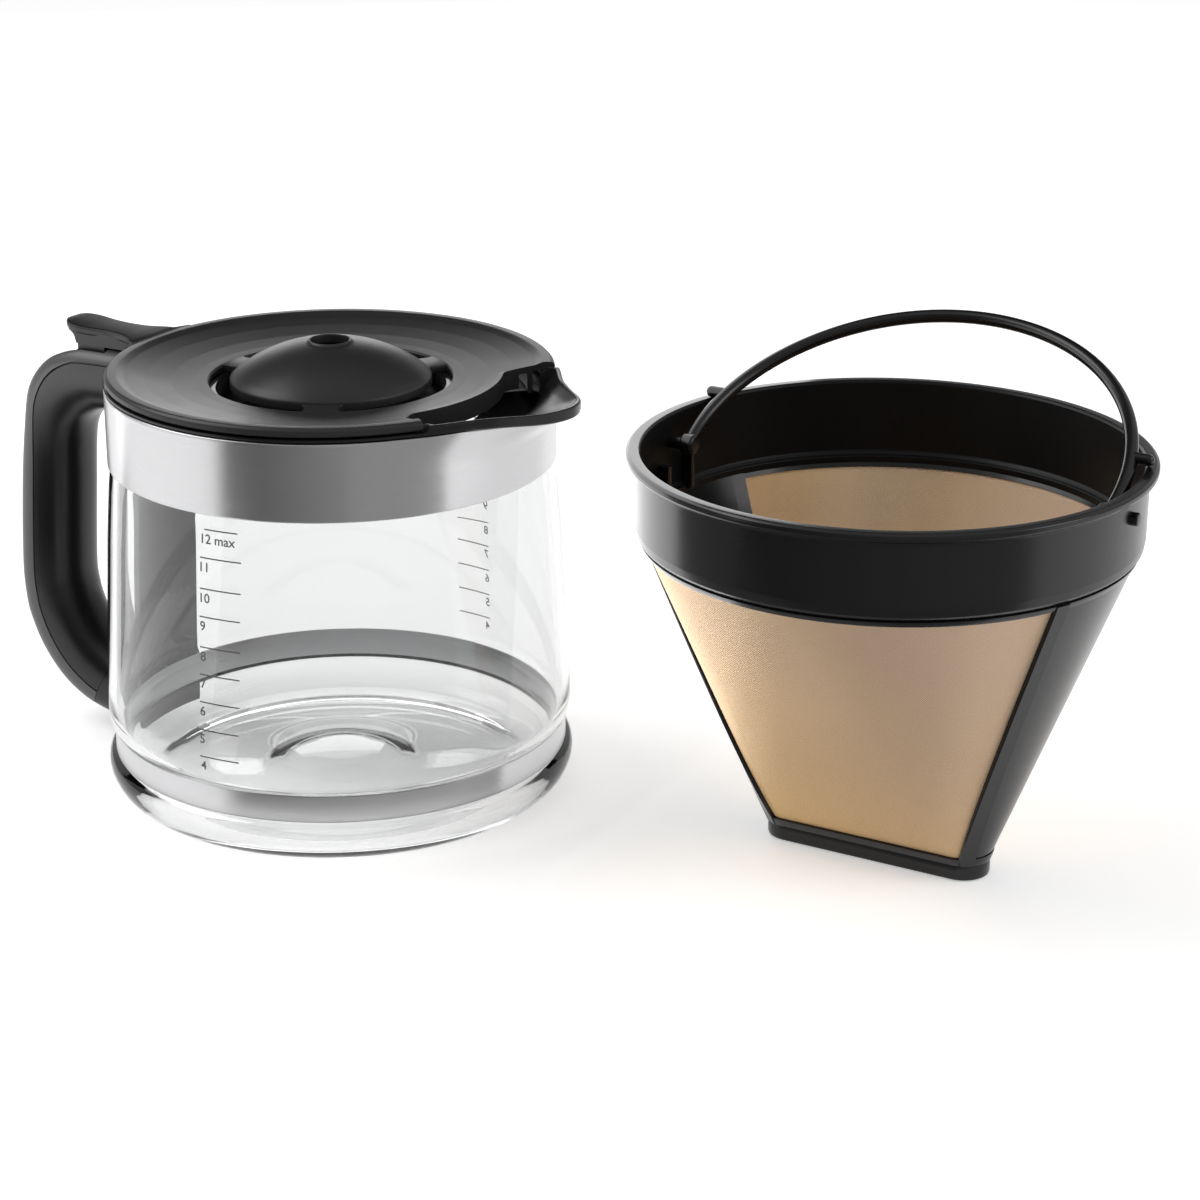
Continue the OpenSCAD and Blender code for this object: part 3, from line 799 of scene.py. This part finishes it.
def lever():
    """Thumb lever: the pad, the block below it, and the lug on the hinge pin."""
    outline = fillet([
        (-97.4, 135.4, 0.4), (-75.2, 135.4, 0.4), (-74.0, 138.0, 0.2), (-74.0, 139.4, 0.2),
        (-101.0, 140.3, 0.3), (-98.2, 138.4, 3.0),
    ], 6)
    block = prism("block", outline, -6.5, 6.5, [M_LID], axis="Y")
    lug_pts = [(-86.0, 136.8), (-97.0, 136.8), (-97.0, 132.4)]
    for k in range(17):
        a = math.radians(170 + 182 * k / 16)
        lug_pts.append((HINGE_X + 4.2 * math.cos(a), HINGE_Z + 4.2 * math.sin(a)))
    lug = prism("lug", lug_pts, -6.2, 6.2, [M_LID], axis="Y")
    hole = []
    for k in range(32):
        a = 2 * math.pi * k / 32
        hole.append((HINGE_X + 1.65 * math.cos(a), HINGE_Z + 1.65 * math.sin(a)))
    carve(lug, prism("hole", hole, -9, 9, axis="Y"))
    return [lever_pad(), block, lug]


wall = cut_wall()
lid = join(disc, dome, *tabs, wall, *lever())
lid.name = "lid_top"
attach(lid, "lid")
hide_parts("lid_cover")

# ------------------------------------------------------------------- handle

# Stations along the handle from its top end to its foot: outside x, z and inside x, z
STATIONS = [
    (-72, 135, -72, 113.5), (-82, 135, -80, 113.5), (-94, 134.9, -88, 113.1),
    (-106, 131.6, -94.4, 110.6), (-114, 125.6, -98.3, 106.8), (-119, 117.6, -100.5, 101.2),
    (-121.6, 104, -101.4, 94), (-124, 86, -102, 84), (-125.7, 66, -103.2, 68), (-126.4, 52, -104, 53),
    (-125.6, 41, -103, 46), (-122.3, 30.5, -100.5, 39.4), (-117, 21.4, -97, 34),
    (-108.5, 12.7, -92, 29.4), (-98, 7.2, -87, 26.7), (-87, 4.9, -80, 25.3), (-77, 4.7, -72, 25),
]
# Depth of the seam between spine and grip, by station; the seam and the spine end at SEAM_END
SEAM = [(0, -0.60), (2, -0.58), (5, -0.36), (7, -0.2), (11, -0.18), (13, -0.2), (14.1, -0.24)]
SEAM_END = 14.06
# Half widths of the handle and of the pocket under the lever
HANDLE_HALF = 12
POCKET_HALF = 7.9


def plate_r(z):
    """Radius of the back plate's outside."""
    return curve([(0, 78.15), (29, 78.15), (33, 77.85), (108, 74.45), (140, 74.45)], z)


def handle_ring(s, u0, u1, cap_low, cap_high):
    """Section of the handle at station s between depths u0 and u1 (-1 outside, 1 inside).

    A side with a cap closes round, so its points are set closer there.
    """
    ox, oz, ix, iz = [curve([(i, st[c]) for i, st in enumerate(STATIONS)], s) for c in range(4)]
    k = 16
    us = []
    for i in range(k + 1):
        t = i / k
        if cap_low and cap_high:
            w = 0.5 - 0.5 * math.cos(math.pi * t)
        elif cap_low:
            w = 1 - math.cos(math.pi / 2 * t)
        elif cap_high:
            w = math.sin(math.pi / 2 * t)
        else:
            w = t
        us.append(u0 + (u1 - u0) * w)

    def half(u):
        n = lerp(2.35, 3.1, smoothstep(0, -1, u))
        return HANDLE_HALF * max(0.0, 1 - abs(u) ** n) ** (1 / n)

    pts = [(u, half(u)) for u in us] + [(u, -half(u)) for u in reversed(us)]
    ring = []
    for u, y in pts:
        t = (u + 1) / 2
        ring.append((lerp(ox, ix, t), y, lerp(oz, iz, t)))
    return ring


def hug(ring):
    """The ring pushed on to the back plate."""
    return [(-math.sqrt(plate_r(z) ** 2 - y * y), y, z) for x, y, z in ring]


def is_clear(ring):
    """Whether the whole ring lies outside the back plate."""
    return all(x * x + y * y > (plate_r(z) + 0.5) ** 2 for x, y, z in ring)


def handle_parts():
    """Spine and grip with the seam between them; a filler closes the seam's bottom."""
    steps = [SEAM_END * i / 110 for i in range(111)]
    gap = 0.028
    spine_rings, grip_rings, filler = [], [], []
    for s in steps:
        seam = curve(SEAM, s)
        spine_rings.append(handle_ring(s, -1, seam - gap, True, False))
        grip_rings.append(handle_ring(s, seam + gap, 1, False, True))
        core_ring = handle_ring(s, seam - gap + 0.002, seam + gap + 0.02, False, False)
        filler.append([(x, y * 0.92, z) for x, y, z in core_ring])
    for i in range(17):
        grip_rings.append(handle_ring(lerp(SEAM_END + 0.02, 16, i / 16), -1, 1, True, True))
    spine_rings = [r for r in spine_rings if is_clear(r)]
    spine_rings.insert(0, hug(spine_rings[0]))
    grip_rings = [r for r in grip_rings if is_clear(r)]
    grip_rings.insert(0, hug(grip_rings[0]))
    grip_rings.append(hug(grip_rings[-1]))
    spine = loft("handle_back", spine_rings, M_SPINE, sharp=40)
    grip = loft("handle_loop", grip_rings, M_GRIP, sharp=40)
    core = loft("seam_core", [r for r in filler if is_clear(r)], M_GRIP, sharp=40)
    pocket = [
        (-84.6, 139), (-84.6, 122.5), (-96, 119.4), (-105, 117.6), (-109, 118.2), (-112, 120.5),
        (-124, 125), (-124, 139),
    ]
    for ob in (spine, grip, core):
        carve(ob, prism("pocket", pocket, -POCKET_HALF, POCKET_HALF, axis="Y"), sharp=40)
    return spine, join(grip, core, sharp=40)


spine, grip = handle_parts()
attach(spine, "carafe")
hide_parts("handle_spine")
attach(grip, "carafe")
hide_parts("handle_grip")

# ------------------------------------------------------------------- filter

rim_outline = fillet([
    (72.6, 104.05, 0.2), (74.4, 104.05, 0.6), (75.8, 105.6, 1.2), (76.2, 108.2, 1.5),
    (76.35, 126.8, 0.3), (76.5, 127.7, 0.6), (78.2, 128.1, 0.6), (79.0, 128.9, 0.7),
    (79.0, 130.3, 0.7), (78.0, 131.0, 0.8), (75.2, 131.0, 0.6), (74.6, 130.2, 0.5),
    (74.6, 107.6, 0.9), (73.6, 106.6, 0.4), (72.6, 106.2, 0.3),
], 5)
rim = lathe("rim_ring", rim_outline, [M_RIM, M_INNER], seg=288, sharp=34, place=FILTER)
for face in rim.data.polygons:
    c = face.center - FILTER.translation
    if c.x * face.normal.x + c.y * face.normal.y < -0.3 * c.length:
        face.material_index = 1
blocks = []
for side in (0, 180):
    for y in (-8.8, 6.4):
        corners = [(75.2, y), (70.6, y), (70.6, y + 2.4), (75.2, y + 2.4)]
        outline = fillet([(x, q, 0.3) for x, q in corners], 2)
        blocks.append(prism("rib", outline, 105.4, 116.4, [M_RIM], place=FILTER @ turned(side)))
rim = join(rim, *blocks, sharp=34)
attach(rim, "filter")
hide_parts("filter_rim")

# The cone is long below and round above: two half cones, each LONG from the middle at the foot
LOW_Z, TOP_Z, LOW_R, TOP_R, LONG = 5.4, 104.0, 8.4, 74.4, 28.6
# Half width of the mesh window at its foot and top, and the heights of the two
WIN = (31.0, 66.5, 7.0, 103.0)


def skin(phi, z, off=0.0, x_flat=None):
    """Point of the cone's skin where it faces phi (degrees), moved out by off.

    x_flat (-1..1) runs along a flat side.
    """
    t = (z - LOW_Z) / (TOP_Z - LOW_Z)
    c, s = math.cos(math.radians(phi)), math.sin(math.radians(phi))
    shift = LONG * (1 - t) * (x_flat if x_flat is not None else (1 if c > 0 else -1))
    r = lerp(LOW_R, TOP_R, t)
    lean = math.atan2(TOP_R - LOW_R - LONG * abs(c), TOP_Z - LOW_Z)
    h, v = math.cos(lean) * off, -math.sin(lean) * off
    return (shift + (r + h) * c, (r + h) * s, z + v)


def edge_phi(z):
    """Angle at which the window's edge lies on the skin."""
    t = (z - LOW_Z) / (TOP_Z - LOW_Z)
    xw = lerp(WIN[0], WIN[1], (z - WIN[2]) / (WIN[3] - WIN[2]))
    c = (xw - LONG * (1 - t)) / lerp(LOW_R, TOP_R, t)
    return math.degrees(math.acos(max(-1, min(1, c))))


def end_panel(side):
    """Closed end of the cone with a raised rib along both of its edges."""
    rings = []
    levels = 36
    for i in range(levels + 1):
        z = lerp(WIN[2] - 1.5, WIN[3] + 0.9, i / levels)
        e = edge_phi(min(WIN[3], max(WIN[2], z)))
        r = lerp(LOW_R, TOP_R, (z - LOW_Z) / (TOP_Z - LOW_Z))
        wide = min(math.degrees(5.4 / r), e * 0.42)
        ramp = math.degrees(0.35 / r)
        vs = [-e, -e + ramp, -e + wide - ramp, -e + wide]
        n = 16
        vs += [lerp(-e + wide, e - wide, k / n) for k in range(1, n)]
        vs += [e - wide, e - wide + ramp, e - ramp, e]
        offs = [0.45, 0.85, 0.85, 0.0] + [0.0] * (n - 1) + [0.0, 0.85, 0.85, 0.45]
        outer = [skin(v, z, o) for v, o in zip(vs, offs)]
        inner = [skin(v, z, -1.8) for v in reversed(vs)]
        rings.append(outer + inner)
    return loft("end_panel", rings, M_FRAME, sharp=30, place=FILTER @ turned(side))


def stations():
    """Places once round the cone, as (facing angle, place along a flat side or None)."""
    out = [(-90 + 180 * k / 40, None) for k in range(41)]
    out += [(90, 1 - 2 * k / 12) for k in range(1, 12)]
    out += [(p, None) for p in [90.01] + [90 + 180 * k / 40 for k in range(1, 40)] + [269.99]]
    out += [(270, -1 + 2 * k / 12) for k in range(1, 12)]
    return out


def hoop(name, z0, z1, o0, o1, inner):
    """Crowned hoop round the cone from z0 to z1, which stand out by o0 and o1."""
    section = [(z0, inner), (z0, o0), ((z0 + z1) / 2, (o0 + o1) / 2 + 0.1), (z1, o1), (z1, inner)]
    rings = [[skin(phi, z, off, flat) for z, off in section] for phi, flat in stations()]
    return loft(name, rings, M_FRAME, closed_path=True, sharp=34, place=FILTER)


frame_ob = join(
    end_panel(0), end_panel(180), hoop("hoop_low", LOW_Z + 0.02, WIN[2] + 1.0, 0.5, 0.3, -1.8),
    hoop("hoop_top", WIN[3] - 0.8, TOP_Z, 0.3, 0.5, -1.6), sharp=30)
frame_ob.name = "cone_frame"
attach(frame_ob, "filter")
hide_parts("filter_frame")


def stadium(half, r, z):
    """Long outline with round ends, half long each way."""
    pts = []
    for k in range(25):
        a = math.radians(-90 + 180 * k / 24)
        pts.append((half - r + r * math.cos(a), r * math.sin(a), z))
    for k in range(25):
        a = math.radians(90 + 180 * k / 24)
        pts.append((-(half - r) + r * math.cos(a), r * math.sin(a), z))
    return pts


foot_levels = [
    (36.4, 7.8, 0.0), (37.0, 8.4, 0.35), (37.2, 8.6, 1.0),
    (37.2, 8.6, 4.6), (37.0, 8.4, 5.2), (36.6, 8.0, 5.38),
]
foot = loft("foot_bar", [stadium(*level) for level in foot_levels], M_FRAME, sharp=40, place=FILTER)
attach(foot, "filter")
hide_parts("filter_foot")


# Pitch of the mesh's threads, and the length of slope for each mm of height, roughly
THREAD = 0.75
SLOPE = 1.16


def mesh_sheet(name, side):
    """Mesh panel on the skin between the frame's ribs, with UVs laid out in thread steps."""
    levels, n1, n2 = 40, 16, 12
    outer, inner = [], []
    for i in range(levels + 1):
        z = lerp(WIN[2] - 0.6, WIN[3] + 0.6, i / levels)
        e = edge_phi(min(WIN[3], max(WIN[2], z))) - 0.4
        row = [(lerp(-e, -90, k / n1), None) for k in range(n1)]
        row += [(-90, 1 - 2 * k / n2) for k in range(n2 + 1)]
        row += [(lerp(-90, -180 + e, k / n1), None) for k in range(1, n1 + 1)]
        outer.append([skin(p, z, -0.5, f) for p, f in row])
        inner.append([skin(p, z, -1.0, f) for p, f in row])
    m = len(outer[0])
    verts = [p for row in outer for p in row] + [p for row in inner for p in row]
    base = (levels + 1) * m
    faces = []
    for i in range(levels):
        for k in range(m - 1):
            a = i * m + k
            faces.append((a, a + 1, a + m + 1, a + m))
            faces.append((base + a, base + a + m, base + a + m + 1, base + a + 1))
    for i in range(levels):
        for k in (0, m - 1):
            a = i * m + k
            faces.append((a, a + m, base + a + m, base + a))
    for i in (0, levels):
        for k in range(m - 1):
            a = i * m + k
            faces.append((a, base + a, base + a + 1, a + 1))
    ob = make(name, verts, faces, M_MESH, merge=False, place=FILTER @ turned(side))
    coords = []
    for row in outer:
        s = [0.0]
        for k in range(1, m):
            s.append(s[-1] + math.dist(row[k], row[k - 1]))
        mid = s[-1] / 2
        coords += [((q - mid) / THREAD, row[k][2] * SLOPE / THREAD) for k, q in enumerate(s)]
    coords += coords
    layer = ob.data.uv_layers.new(name="weave")
    for loop in ob.data.loops:
        layer.data[loop.index].uv = coords[loop.vertex_index]
    return ob


for name, side, node in (("mesh_fore", 0, "mesh_front"), ("mesh_rear", 180, "mesh_back")):
    ob = mesh_sheet(name, side)
    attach(ob, "filter")
    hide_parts(node)


RIM_TOP = 131


def bail():
    """Round rod bent to an arc, with hubs, pins and rounded stop ears."""
    half, rise, rod, pivot_z, lean = 68.6, 76.0, 2.1, 122.0, 64
    ball = (half * half + rise * rise) / (2 * rise)
    drop = ball - rise
    a0 = math.degrees(math.asin(drop / ball))
    rings = []
    n = 120
    for i in range(n + 1):
        a = math.radians(lerp(a0, 180 - a0, i / n))
        c, s = math.cos(a), math.sin(a)
        ring = []
        for k in range(20):
            b = 2 * math.pi * k / 20
            r = ball + rod * math.cos(b)
            ring.append((r * c, rod * math.sin(b), r * s - drop))
        rings.append(ring)
    place = FILTER @ Matrix.Translation((0, 0, pivot_z * MM)) @ turned(-lean, "X")
    bow = loft("bail_bow", rings, M_BAIL, sharp=50, place=place)
    ear_r = 1.8
    ear_up = (RIM_TOP + ear_r + 0.05 - pivot_z) / math.cos(math.radians(lean))
    ear_x = math.sqrt(ball * ball - (ear_up + drop) ** 2) - 0.6
    hub = fillet([
        (0, 65.8, 0), (2.6, 65.8, 0.8), (3.3, 66.6, 0.6), (3.3, 69.8, 0.6), (2.6, 70.4, 0.5), (0, 70.4, 0),
    ], 4)
    pin = fillet([(0, 69.8, 0), (2.0, 69.8, 0), (2.0, 78.3, 0.5), (0, 78.3, 0)], 4)
    ear = [(0, ear_x), (ear_r, ear_x), (ear_r, 71.9)]
    for q in range(10, 90, 16):
        ear.append((ear_r * math.cos(math.radians(q)), 72.1 + ear_r * math.sin(math.radians(q))))
    ear.append((0, 73.95))
    parts = []
    for side in (0, 180):
        for outline, up in ((hub, 0), (pin, 0), (ear, ear_up)):
            lift = place @ Matrix.Translation((0, 0, up * MM)) @ turned(side) @ turned(90, "Y")
            parts.append(lathe("bail_bit", outline, M_BAIL, seg=32, sharp=40, place=lift))
    ob = join(bow, *parts, sharp=45)
    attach(ob, "bail")
    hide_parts("bail_handle")


bail()

# -------------------------------------------------------------- level marks


# Outside of the glass between the two bands, by height
SIDE = [
    (25, 74.6), (27, 75.2), (36, 75.15), (50, 74.5), (68, 73.6), (88, 72.5),
    (104, 71.2), (109, 70.6), (113, 70.3),
]
INK_UNDER, INK_TOP = 0.02, 0.07


def glass_r(z):
    return curve(SIDE, z)


def on_glass(x, z, lift, az):
    """Wraps a flat drawing (x to the right, z up) on the glass about azimuth az."""
    r = glass_r(z)
    a = math.radians(az) + x / r
    return ((r + lift) * math.cos(a), (r + lift) * math.sin(a), z)


def tick(x0, x1, z, thick, az, ink):
    """Level line between x0 and x1."""
    half = thick / 2
    section = ((-half, INK_UNDER), (-half, INK_TOP), (half, INK_TOP), (half, INK_UNDER))
    xs = [lerp(x0, x1, k / 8) for k in range(9)]
    rings = [[on_glass(x, z + up, lift, az) for up, lift in section] for x in xs]
    return loft("tick", rings, ink)


def number(text, x_left, z, height, az, ink):
    """Figures in the default font, laid on the glass with their left edge at x_left."""
    c = bpy.data.curves.new("number", "FONT")
    c.body = text
    c.size = 1
    c.extrude = 0.02
    c.offset = 0.012
    ob = bpy.data.objects.new("number", c)
    scene.collection.objects.link(ob)
    dg = bpy.context.evaluated_depsgraph_get()
    me = bpy.data.meshes.new_from_object(ob.evaluated_get(dg))
    bpy.data.objects.remove(ob)
    bpy.data.curves.remove(c)
    k = height / 0.7
    xs = [v.co.x for v in me.vertices]
    left = min(xs)
    out = bpy.data.objects.new("digits", me)
    scene.collection.objects.link(out)
    for v in me.vertices:
        lift = INK_TOP if v.co.z > 0 else INK_UNDER
        p = on_glass(x_left + (v.co.x - left) * k, z + v.co.y * k, lift, az)
        v.co = Vector(p) * MM
    me.materials.clear()
    me.materials.append(ink)
    finish_shading(out, 30)
    return out


# Level marks: cups, height, and the azimuths of the line's two ends
TICKS = [
    (4, 33.8, -90.2, -79.7), (5, 42.6, -90.2, -79.5), (6, 51.6, -90.0, -79.2), (7, 60.5, -89.8, -79.0),
    (8, 69.3, -89.7, -78.7), (9, 79.0, -89.7, -78.6), (10, 87.9, -89.5, -78.3), (11, 97.6, -89.5, -78.1),
    (12, 106.4, -88.3, -79.1),
]
for name, mirror, ink in (("level_marks", False, M_INK), ("level_marks_far", True, M_INK_PALE)):
    marks = []
    for cup, z, az0, az1 in TICKS:
        if mirror:
            az0, az1 = -az1, -az0
        mid, span = (az0 + az1) / 2, math.radians(az1 - az0) * glass_r(z) / 2
        text, shift = ("12 max", -0.9) if cup == 12 else (str(cup), 0.2)
        marks.append(tick(-span, span, z, 0.42, mid, ink))
        marks.append(number(text, shift - span, z - 4.3, 2.9, mid, ink))
    scale = join(marks[0], *marks[1:])
    scale.name = name
    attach(scale, "carafe")
